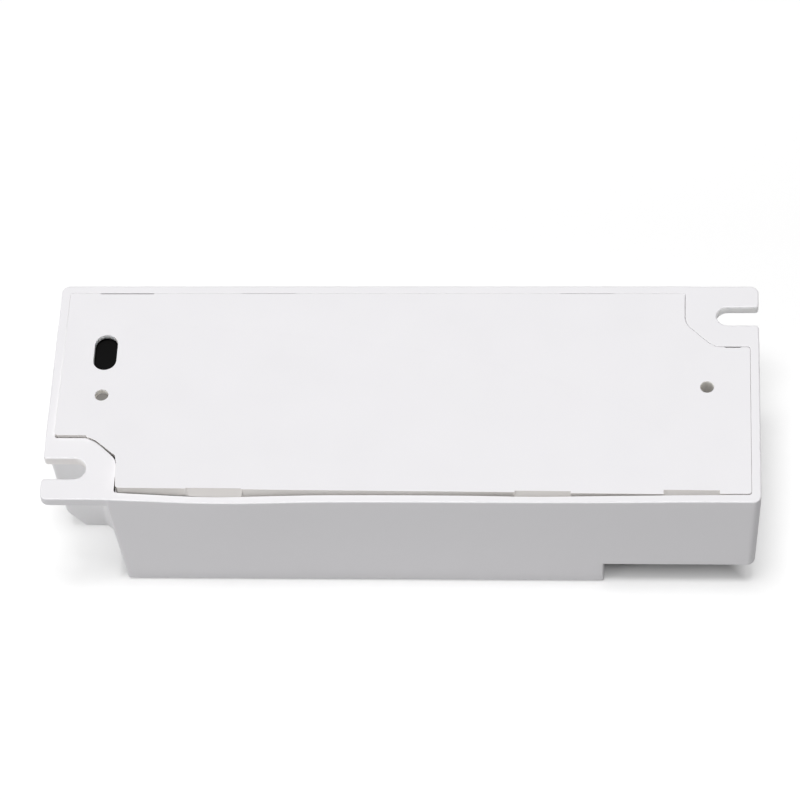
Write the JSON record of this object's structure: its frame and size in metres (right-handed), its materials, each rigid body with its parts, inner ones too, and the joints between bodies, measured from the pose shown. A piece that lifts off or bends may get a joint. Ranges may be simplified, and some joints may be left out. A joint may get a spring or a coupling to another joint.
{
  "type": "led driver",
  "caption": "Plastic-cased LED driver with slotted mounting ears, a snap-in base cover and screwed terminal covers around a switching supply's circuit board.",
  "frame": {"origin": "centre of the footprint, on the face that the driver lies on", "axes": "+X along the housing from the output end to the mains end, +Y across it, +Z from the face it lies on to the mounting plane"},
  "size_m": [0.125, 0.0456, 0.028],
  "materials": {
    "white_plastic": "finely textured moulded white",
    "black_film": "matt black film",
    "board_laminate": "solder-masked green laminate",
    "zinc_plated_steel": "bright zinc plating",
    "terminal_plastic": "moulded dark grey",
    "terminal_brass": "plated brass",
    "fuse_plastic": "moulded brown",
    "blue_epoxy": "dipped blue epoxy",
    "green_epoxy": "dipped dark green coating",
    "yellow_plastic": "moulded yellow",
    "ferrite": "ground dark ferrite",
    "black_plastic": "moulded black",
    "enamelled_wire": "enamelled copper",
    "winding_tape": "wrapped yellow tape",
    "moulded_epoxy": "moulded black epoxy",
    "pale_epoxy": "moulded pale epoxy",
    "capacitor_sleeve": "shrunk dark sleeve",
    "chip_ceramic": "fired tan ceramic"
  },
  "bodies": {
    "root": {"housing": "white_plastic", "base_cover": "white_plastic", "input_terminal_cover": "white_plastic", "output_terminal_cover": "white_plastic", "insulating_sheet": "black_film", "circuit_board": "board_laminate", "cover_screws": "zinc_plated_steel", "input_terminal_block": "terminal_plastic", "output_terminal_block": "terminal_plastic", "input_terminal_clamps": "terminal_brass", "output_terminal_clamps": "terminal_brass", "fuse": "fuse_plastic", "varistor": "blue_epoxy", "safety_capacitor": "blue_epoxy", "thermistor": "green_epoxy", "mains_filter_capacitor": "yellow_plastic", "filter_choke_core": "ferrite", "boost_core": "ferrite", "transformer_core": "ferrite", "output_choke_core": "ferrite", "filter_choke_bobbin": "black_plastic", "boost_bobbin": "black_plastic", "transformer_bobbin": "black_plastic", "filter_choke_windings": "enamelled_wire", "boost_winding": "enamelled_wire", "output_choke_winding": "enamelled_wire", "transformer_winding": "winding_tape", "bridge_rectifier": "moulded_epoxy", "switching_transistor": "moulded_epoxy", "output_diode": "moulded_epoxy", "control_chips": "moulded_epoxy", "optocoupler": "pale_epoxy", "bulk_capacitor": "capacitor_sleeve", "output_capacitors": "capacitor_sleeve", "chip_components": "chip_ceramic"}
  },
  "joints": []
}
